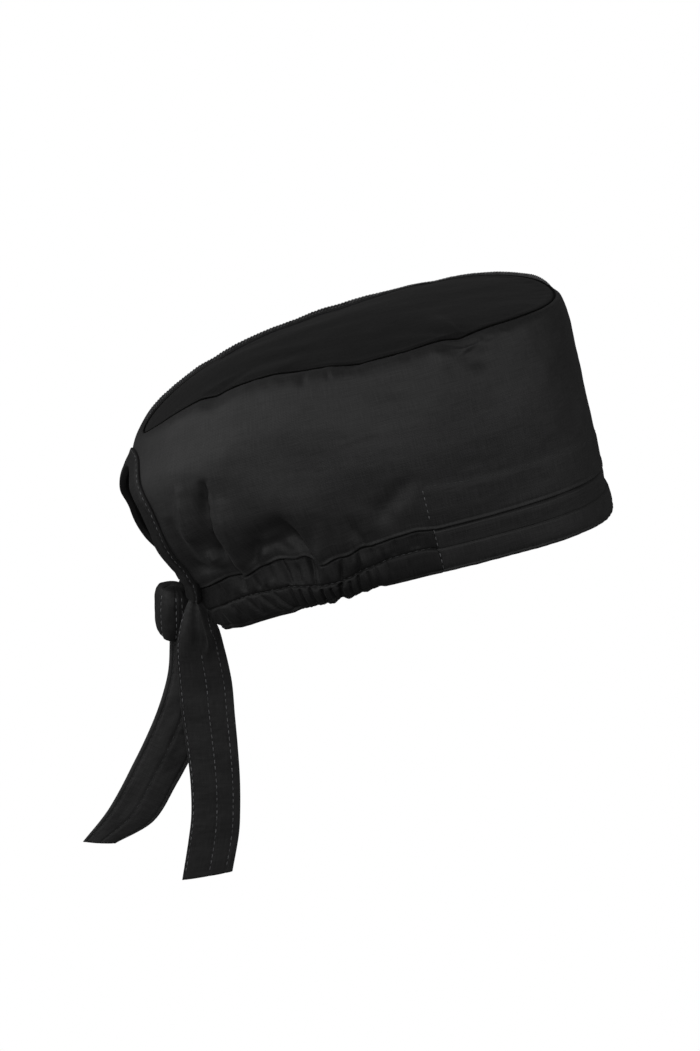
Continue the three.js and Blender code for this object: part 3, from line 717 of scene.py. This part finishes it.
def make_binding(material):
    """The strip folded over the opening's edge: a flat tube along the outline."""
    line, out = binding_path()
    across, height = flat_section(22)
    grid = np.zeros((len(line), len(across), 3))
    along = distance_along(line)
    for k, share in enumerate(across):
        place = line + out * (share * BINDING_WIDTH)
        angle, v = on_back(place[:, 0], place[:, 1])
        p = side_point(angle, v)
        n = side_normal(angle, v)
        outside = height[k] > 0
        half = height[k] * (BINDING_OUT if outside else BINDING_IN)
        seam = -0.6 * bump((1 - share) * BINDING_WIDTH - BINDING_ROW, 0.5) if outside else 0.0
        wave = 0.1 * np.sin(along / 2.1 + 5 * share) + 0.15 * ripple(p, 16, 41)
        grid[:, k] = p + n * (half + strip_base(angle, v, line[:, 1]) + seam + wave)[:, None]
    rows, cols = grid.shape[:2]
    uv = np.stack([np.repeat(along, cols), np.tile(across * BINDING_WIDTH, rows)], -1)
    faces = [face[::-1] for face in tube_faces(rows, cols)]
    piece = make_mesh("binding_cloth", worn(grid).reshape(-1, 3), faces, uv, material)
    return on_cap(piece, "opening_binding")


def tail_frame(table, t, share):
    """A point on a tail's middle sheet and the way out of it, at t rows down and a share across."""
    steps = np.arange(len(table), dtype=float)

    def at(rows):
        edges = curve_through(steps, table, rows)
        return edges[..., :3], edges[..., 3:]

    h = 0.02
    (a, b), (a1, b1), (a2, b2) = at(t), at(t - h), at(t + h)
    s = share[..., None]
    down = (a2 + (b2 - a2) * s) - (a1 + (b1 - a1) * s)
    return a + (b - a) * s, unit(np.cross(down, b - a))


def tail_bow(t, share, points, seed, bow, crease):
    """How far the tail's sheet stands out: its bow, soft waves and the fold near the knot."""
    out = bow * 4 * share * (1 - share) * np.clip(t / 2, 0, 1)
    waves = 0.5 * ripple(points * np.array([0.6, 1, 1]), 38, seed) + 0.15 * ripple(points, 13, seed + 1)
    out = out + np.clip(t / 3, 0, 1) * waves
    near = crease * (1 - ease(t, 2.2, 3.6))
    ridge = np.interp(t, (0, 1, 2, 2.5, 3.2), (0.84, 0.77, 0.79, 0.76, 0.64))
    out = out + near * (3.0 * bump(share - ridge, 0.06) - 1.4 * bump(share - ridge - 0.13, 0.07))
    return out + near * (1.0 * bump(share - 0.25, 0.16) - 0.8 * bump(share - 0.44, 0.06))


def make_tail(name, node, material, table, rows_at, seed, bow, crease):
    """A flat strap: cloth folded and stitched, puffed between its stitch rows."""
    count = 170
    across, lift = flat_section(50)
    last = len(table) - 1
    t, share = np.meshgrid(np.linspace(0, last, count), across, indexing="ij")
    middle, n = tail_frame(table, t, share)
    puff = np.ones_like(share)
    for row in rows_at:
        puff -= 0.42 * bump((share - row) * TIE_WIDTH, 0.6)
    ends = 1 - 0.25 * bump(t - last, 0.25)
    fine = 0.05 * ripple(middle * np.array([1, 1, 2.0]), 4, seed + 5)
    half = TIE_WALL / 2 * puff * ends * lift + fine
    out = tail_bow(t, share, middle, seed, bow, crease) + half - TIE_WALL / 2
    grid = middle + n * out[..., None]
    uv = np.stack([share * TIE_WIDTH, t * TIE_LENGTH / 10], -1).reshape(-1, 2)
    faces = tube_faces(count, len(across))
    return on_cap(make_mesh(name, grid.reshape(-1, 3), faces, uv, material), node)


def knot_point(z, turn):
    """The smooth knot at a height and a turn round it."""
    half = curve_through(KNOT_SECTIONS[:, 0], KNOT_SECTIONS[:, 1:], z)
    c, s = np.cos(turn), np.sin(turn)
    x = half[..., 0] * np.sign(c) * np.abs(c) ** 0.7
    y = half[..., 1] * np.sign(s) * np.abs(s) ** 0.7
    k, m = math.cos(KNOT_TURN), math.sin(KNOT_TURN)
    return np.stack([x * k - y * m, x * m + y * k, z], -1) + KNOT_CENTRE


def knot_ways(p, z):
    """The ways out of the knot at its points p of height z."""
    return unit(p - (KNOT_CENTRE + np.array([0, 0, 0.75]) * z[..., None]))


def make_knot(material):
    """The strap wrapped once round the other: a band with edges, over a narrower lump."""
    count, around = 70, 120
    heights = np.linspace(KNOT_SECTIONS[0, 0], KNOT_SECTIONS[-1, 0], count)
    turns = np.linspace(0, 2 * math.pi, around, endpoint=False)
    z, turn = np.meshgrid(heights, turns, indexing="ij")
    p = knot_point(z, turn)
    degrees = np.degrees(turn)
    begun = ease(degrees, WRAP_START, WRAP_START + 5)
    ended = ease(degrees, WRAP_END - 5, WRAP_END)
    out = 0.55 * begun * (1 - ended) - 0.5
    out += 0.16 * ripple(p, 12, 51) + 0.07 * ripple(p, 5, 52)
    for row in KNOT_ROWS:
        out -= 0.3 * bump(degrees - row, 1.6)
    out -= 0.8 * bump(degrees - WRAP_START + 4, 5) + 0.6 * bump(degrees - WRAP_END - 4, 5)
    p = p + knot_ways(p, z) * out[..., None]
    uv = np.stack([turn * 10, z], -1).reshape(-1, 2)
    faces = tube_faces(count, around)
    return on_cap(make_mesh("knot_cloth", p.reshape(-1, 3), faces, uv, material), "tie_knot")


# Stitches

def stitches(name, rows, material, length=STITCH_LENGTH, thick=THREAD, pitch=STITCH_PITCH):
    """Short rounded threads laid along rows; each row is points in mm and the ways out of the cloth."""
    points, faces = [], []
    shape = [(-0.5, 0.25), (-0.36, 0.85), (0.0, 1.0), (0.36, 0.85), (0.5, 0.25)]
    around = [2 * math.pi * r / 6 for r in range(6)]
    one = tube_faces(len(shape), len(around))
    for line, ways in rows:
        far = distance_along(line)

        def read(values, at):
            return np.array([np.interp(at, far, values[:, j]) for j in range(3)])

        for k in range(int(far[-1] / pitch)):
            at = (k + 0.5) * pitch
            mid = read(line, at)
            way = unit(read(line, at + 0.6) - mid)
            n = read(ways, at)
            side = np.cross(way, n)
            start = len(points)
            for along, wide in shape:
                rise = 0.08 - 0.14 * (abs(along) * 2) ** 2
                for turn in around:
                    off = side * math.cos(turn) + n * math.sin(turn) * 0.75
                    points.append(mid + way * along * length + off * wide * thick + n * rise)
            faces += [[start + corner for corner in face] for face in one]
    return on_cap(make_mesh(name, points, faces, np.array(points)[:, :2], material))


def side_row(angles, heights, relief, drop=None):
    """A stitch row over the side: its points and outward ways, in the worn frame."""
    angle, v = np.radians(np.asarray(angles, float)), np.asarray(heights, float)
    real = waved(angle, v)
    base = side_point(angle, real)
    n = side_normal(angle, real)
    p = base + n * relief(angle, v, base)[..., None]
    if drop is not None:
        p[..., 2] += drop(angle, v)
    return worn(p), worn(n)


def band_row(heights, relief):
    """A row along the band from end to end, with its height given for degrees from the front."""
    angles = np.linspace(-ROW_END, ROW_END, 400)
    return side_row(angles, heights(np.abs(angles)), relief)


def band_end_rows():
    """The upright rows at both ends of the band, above and below the panel's seam."""
    rows = []
    for side in (-1, 1):
        for angle, high, low, count, relief in (
            (BAND_END, 0.388, 0.2525, 60, side_relief),
            (BAND_END - 0.4, 0.232, 0.004, 80, band_relief),
        ):
            heights = np.linspace(high, low, count)
            rows.append(side_row(np.full_like(heights, side * angle), heights, relief))
    return rows


def casing_rows():
    """The band's hem row, and the row along the middle of each casing."""
    rows = [band_row(lambda a: 0 * a + HEM_SEAM, band_relief)]
    for end in (-149.0, 158.0):
        angles = np.linspace(math.copysign(82.5, end), end, 400)
        rows.append(side_row(angles, np.full(400, MID_SEAM), casing_relief, casing_drop))
    return rows


def binding_rows():
    line, out = binding_path()
    place = line + out * (BINDING_WIDTH - BINDING_ROW)
    angle, v = on_back(place[:, 0], place[:, 1])
    n = side_normal(angle, v)
    lift = 0.88 + strip_base(angle, v, line[:, 1])
    return [(worn(side_point(angle, v) + n * lift[:, None]), worn(n))]


def tail_rows(table, rows_at, seed, bow, crease):
    """A strap's rows: on its outer face only where it is folded, and on both faces otherwise."""
    rows = []
    for share in rows_at:
        start = 3.1 if crease and share == rows_at[1] else 1.2
        t = np.linspace(start, len(table) - 1.12, 260)
        s = np.full_like(t, share)
        middle, n = tail_frame(table, t, s)
        lift = tail_bow(t, s, middle, seed, bow, crease)
        rows.append((middle + n * (lift - TIE_WALL * 0.13)[:, None], n))
        if not crease:
            rows.append((middle + n * (lift - TIE_WALL * 0.87)[:, None], -n))
    return rows


def top_seam_line(inward, sink, degrees):
    """A line along the top seam, a distance in from it and sunk below it, in the worn frame."""
    angle = np.radians(degrees)
    seam = side_point(angle, np.ones_like(angle))
    share = 1 - inward / np.hypot(seam[:, 0], seam[:, 1])
    return worn(np.stack([seam[:, 0] * share, seam[:, 1] * share, seam[:, 2] + top_wave(angle) - sink], -1))


def closed_cord(name, line, radius, material, ring=8):
    """A closed cord of round section along a closed line in mm, used for the top seam's painted shadow."""
    ahead = unit(np.roll(line, -1, 0) - np.roll(line, 1, 0))
    side = unit(np.cross(ahead, [0, 0, 1.0]))
    up = np.cross(side, ahead)
    turn = np.linspace(0, 2 * math.pi, ring, endpoint=False)[:, None]
    points = line[:, None] + radius * (side[:, None] * np.cos(turn) + up[:, None] * np.sin(turn))
    flat = points.reshape(-1, 3)
    faces = tube_faces(len(line), ring, closed=True)
    return on_cap(make_mesh(name, flat, faces, flat[:, :2], material))


def far_seam_rows():
    """The lighter topstitch that shows on the rolled edge of the cap's left and front."""
    angles = np.radians(np.linspace(12, 166, 700))
    heights = np.array([0.957, 0.965, 0.973, 0.981])
    outer, inner, _ = side_grid(angles, heights, side_relief, 1.0, level_top=True)
    way = outer - inner
    return list(zip(outer + way * 0.1, way))


def knot_rows():
    """The rows of the strap that is wrapped round the knot."""
    rows = []
    for degrees in KNOT_ROWS:
        z = np.linspace(-10.5, 10.5, 60)
        p = knot_point(z, np.full_like(z, math.radians(degrees)))
        way = knot_ways(p, z)
        rows.append((p - way * 0.04, way))
    return rows


# Materials

def new_material(name):
    made = bpy.data.materials.new(name)
    made.use_nodes = True
    return made, made.node_tree.nodes, made.node_tree.links


def set_inputs(node, **values):
    """Sets a node's own sockets by their names, with an underscore for a space."""
    for name, value in values.items():
        node.inputs[name.replace("_", " ")].default_value = value


def colour_ramp(nodes, links, source, low, dark, high, pale):
    """Turns a value into a colour: dark up to low, and pale from high."""
    ramp = nodes.new("ShaderNodeValToRGB")
    for element, place, colour in zip(ramp.color_ramp.elements, (low, high), (dark, pale)):
        element.position = place
        element.color = (*colour, 1)
    links.new(source, ramp.inputs["Fac"])
    return ramp.outputs["Color"]


def relief_normal(nodes, links, height, strength, distance, under=None):
    """A bump of a height over the normal under it."""
    made = nodes.new("ShaderNodeBump")
    set_inputs(made, Strength=strength, Distance=distance)
    links.new(height, made.inputs["Height"])
    if under is not None:
        links.new(under, made.inputs["Normal"])
    return made.outputs["Normal"]


def cloth_material(name, depth):
    """Black fine satin weave with soft sheen, weave bump and unevenness; depth scales its colour and gloss,
    and a depth below 1 is painted shade.
    """
    made, nodes, links = new_material(name)
    skin = nodes["Principled BSDF"]
    set_inputs(skin, Specular_IOR_Level=0.3 * depth, Sheen_Weight=0.02, Sheen_Roughness=0.45)
    uv = nodes.new("ShaderNodeUVMap")
    uv.uv_map = "cloth"
    flat = uv.outputs["UV"]
    solid = nodes.new("ShaderNodeTexCoord").outputs["Object"]

    def wave(direction, period_mm, distortion):
        w = nodes.new("ShaderNodeTexWave")
        w.wave_type = "BANDS"
        w.bands_direction = direction
        set_inputs(w, Scale=0.314 / (period_mm * MM), Distortion=distortion, Detail=1.0)
        links.new(flat, w.inputs["Vector"])
        return w.outputs["Fac"]

    def noise(scale, detail, source):
        n = nodes.new("ShaderNodeTexNoise")
        set_inputs(n, Scale=scale, Detail=detail)
        links.new(source, n.inputs["Vector"])
        return n.outputs["Fac"]

    def streaks(across, along):
        """Noise drawn out along one way of the cloth, as uneven yarns are."""
        stretch = nodes.new("ShaderNodeMapping")
        set_inputs(stretch, Scale=(across, along, 1.0))
        links.new(flat, stretch.inputs["Vector"])
        return noise(1.0, 2.0, stretch.outputs["Vector"])

    def weighted(*parts):
        """The sum of pairs of a value and its weight."""
        total = None
        for value, weight in parts:
            part = nodes.new("ShaderNodeMath")
            part.operation = "MULTIPLY_ADD"
            links.new(value, part.inputs[0])
            part.inputs[1].default_value = weight
            part.inputs[2].default_value = 0.0
            if total is not None:
                links.new(total, part.inputs[2])
            total = part.outputs[0]
        return total

    weave = weighted((wave("X", 0.42, 0.6), 0.55), (wave("DIAGONAL", 0.6, 0.8), 0.45))
    slub = weighted((streaks(2600.0, 130.0), 0.5), (streaks(110.0, 2300.0), 0.5))
    cloud = noise(24.0, 3.0, solid)
    grain = noise(1500.0, 2.0, solid)
    shade = weighted((weave, 0.1), (slub, 0.65), (cloud, 0.25))
    dark = (0.0036 * depth, 0.0036 * depth, 0.0037 * depth)
    pale = (0.0150 * depth, 0.0148 * depth, 0.0150 * depth)
    links.new(colour_ramp(nodes, links, shade, 0.38, dark, 0.62, pale), skin.inputs["Base Color"])
    rough = nodes.new("ShaderNodeMapRange")
    set_inputs(rough, To_Min=0.56, To_Max=0.7)
    links.new(cloud, rough.inputs["Value"])
    links.new(rough.outputs["Result"], skin.inputs["Roughness"])
    fine = relief_normal(nodes, links, weighted((weave, 0.4), (grain, 0.8)), 0.5, 0.00008)
    crumpled = relief_normal(nodes, links, noise(170.0, 4.0, solid), 0.3, 0.0006, fine)
    links.new(crumpled, skin.inputs["Normal"])
    return made


def thread_material(name, colour, gloss=0.35):
    """Twisted thread, a little lighter than the cloth, with a twist bump."""
    made, nodes, links = new_material(name)
    skin = nodes["Principled BSDF"]
    set_inputs(skin, Roughness=0.55, Specular_IOR_Level=gloss, Sheen_Weight=0.1 * gloss)
    solid = nodes.new("ShaderNodeTexCoord").outputs["Object"]
    spread = nodes.new("ShaderNodeTexNoise")
    set_inputs(spread, Scale=260.0)
    links.new(solid, spread.inputs["Vector"])
    dark = [c * 0.35 for c in colour]
    mottled = colour_ramp(nodes, links, spread.outputs["Fac"], 0.35, dark, 0.65, colour)
    links.new(mottled, skin.inputs["Base Color"])
    twist = nodes.new("ShaderNodeTexWave")
    set_inputs(twist, Scale=900.0)
    links.new(solid, twist.inputs["Vector"])
    links.new(relief_normal(nodes, links, twist.outputs["Fac"], 0.4, 0.00006), skin.inputs["Normal"])
    return made


# Stage, lights and camera

def make_stage():
    """A large pale floor that shows white."""
    mesh = bpy.data.meshes.new("floor")
    half = 14.0
    corners = [(x * half, y * half, FLOOR_Z) for x, y in ((-1, -1), (1, -1), (1, 1), (-1, 1))]
    mesh.from_pydata(corners, [], [(0, 1, 2, 3)])
    pale, nodes, links = new_material("pale_floor")
    skin = nodes["Principled BSDF"]
    set_inputs(skin, Base_Color=(0.15, 0.15, 0.15, 1), Roughness=0.9)
    white = nodes.new("ShaderNodeEmission")
    mix_for_camera(nodes, links, skin.outputs["BSDF"], white.outputs["Emission"], nodes["Material Output"])
    mesh.materials.append(pale)
    add_object("floor", mesh)


def mix_for_camera(nodes, links, lit, seen, output):
    """Lights the scene with one shader, and shows another."""
    path = nodes.new("ShaderNodeLightPath")
    mix = nodes.new("ShaderNodeMixShader")
    links.new(path.outputs["Is Camera Ray"], mix.inputs[0])
    links.new(lit, mix.inputs[1])
    links.new(seen, mix.inputs[2])
    links.new(mix.outputs["Shader"], output.inputs["Surface"])


def aim(obj, target):
    """Turns a camera or a light to a place."""
    obj.rotation_euler = (Vector(target) - obj.location).to_track_quat("-Z", "Y").to_euler()


def from_target(azimuth, elevation, distance):
    """A place seen from the origin; azimuth 0 is the photograph's side, plus turns to the wearer's front."""
    out = distance * math.cos(elevation)
    return Vector((out * math.sin(azimuth), -out * math.cos(azimuth), distance * math.sin(elevation)))


def area_light(name, azimuth, elevation, distance, size, power):
    """A soft square light that looks at the cap, with its angles in degrees."""
    light = bpy.data.lights.new(name, "AREA")
    light.shape = "SQUARE"
    light.size = size
    light.energy = power
    made = add_object(name, light)
    made.location = from_target(math.radians(azimuth), math.radians(elevation), distance)
    aim(made, (0, 0, 0.02))


def make_lights():
    world = bpy.data.worlds.new("studio")
    bpy.context.scene.world = world
    world.use_nodes = True
    nodes, links = world.node_tree.nodes, world.node_tree.links
    dim = nodes["Background"]
    set_inputs(dim, Color=(1, 1, 1, 1), Strength=0.05)
    white = nodes.new("ShaderNodeBackground")
    lit, seen = dim.outputs["Background"], white.outputs["Background"]
    mix_for_camera(nodes, links, lit, seen, nodes["World Output"])
    area_light("key", azimuth=-90, elevation=24, distance=2.0, size=1.8, power=26)
    area_light("front", azimuth=-16, elevation=26, distance=2.2, size=1.4, power=22)
    area_light("fill", azimuth=58, elevation=26, distance=2.2, size=1.8, power=20)


def make_camera():
    """The photograph's view, with its scale at the cap's middle."""
    camera = bpy.data.cameras.new("camera")
    camera.lens = camera.sensor_width * VIEW_DISTANCE / (PHOTO_HEIGHT * MM_PER_PIXEL * MM)
    camera.clip_end = 60
    made = add_object("camera", camera)
    made.location = Vector(VIEW_TARGET) + from_target(VIEW_AZIMUTH, VIEW_ELEVATION, VIEW_DISTANCE)
    aim(made, VIEW_TARGET)
    bpy.context.scene.camera = made


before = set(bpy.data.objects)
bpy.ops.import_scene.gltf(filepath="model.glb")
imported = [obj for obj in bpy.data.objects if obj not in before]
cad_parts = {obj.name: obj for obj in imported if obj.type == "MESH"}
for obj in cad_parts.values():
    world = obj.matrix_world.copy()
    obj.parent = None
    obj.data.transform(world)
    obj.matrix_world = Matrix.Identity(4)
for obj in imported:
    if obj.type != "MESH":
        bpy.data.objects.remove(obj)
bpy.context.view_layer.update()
make_camera()
make_stage()
make_lights()
bpy.context.scene.view_settings.view_transform = "Standard"

cloth = cloth_material("black_cloth_weave", 1.0)
# The top panel's cloth: the same cloth at half its colour and gloss, as painted shade of a top that the light
# reaches less
top_cloth = cloth_material("black_cloth_weave_painted_shade_top", 0.5)
bright_thread = thread_material("strap_thread", (0.13, 0.13, 0.135))
dark_thread = thread_material("cap_thread", (0.045, 0.045, 0.047))
top_thread = thread_material("top_thread", (0.1, 0.1, 0.104))
faint_thread = thread_material("faint_thread", (0.024, 0.024, 0.025))
# A near-black, almost matt cord along the top seam: painted shadow of the seam's groove
seam_shadow_cord = thread_material("seam_shadow_cord", (0.0025, 0.0025, 0.0025), 0.04)
# The casings', the opening strip's and the knot's cloth: the same cloth darkened to 0.65, as painted shade of
# the gathered, lower cloth
casing_cloth = cloth_material("black_cloth_weave_painted_shade", 0.65)

crown = make_crown(top_cloth)
close_crown(crown)
make_side(cloth)
make_band(cloth)
make_casing(-1, casing_cloth)
make_casing(1, casing_cloth)
make_binding(casing_cloth)
make_knot(casing_cloth)
right_tail = make_tail("tail_cloth_right", "tie_tail_right", cloth, **RIGHT_STRAP)
left_tail = make_tail("tail_cloth_left", "tie_tail_left", cloth, **LEFT_STRAP)
# The cord along the top seam is painted shadow of its groove
closed_cord("top_seam_shadow_cord", top_seam_line(0.1, 0.12, np.arange(0, 360, 0.6)), 0.4, seam_shadow_cord)
stitches("top_stitches", far_seam_rows(), top_thread, length=1.1, pitch=1.7)
stitches("cap_stitches", [band_row(upper_row, side_relief)], faint_thread)
stitches("band_end_stitches", band_end_rows(), bright_thread)
stitches("casing_stitches", casing_rows(), dark_thread)
stitches("binding_stitches", binding_rows(), bright_thread, length=1.7, thick=0.16)
right_thread = stitches("right_tail_stitches", tail_rows(**RIGHT_STRAP), bright_thread)
left_thread = stitches("left_tail_stitches", tail_rows(**LEFT_STRAP), faint_thread)
stitches("knot_stitches", knot_rows(), bright_thread)
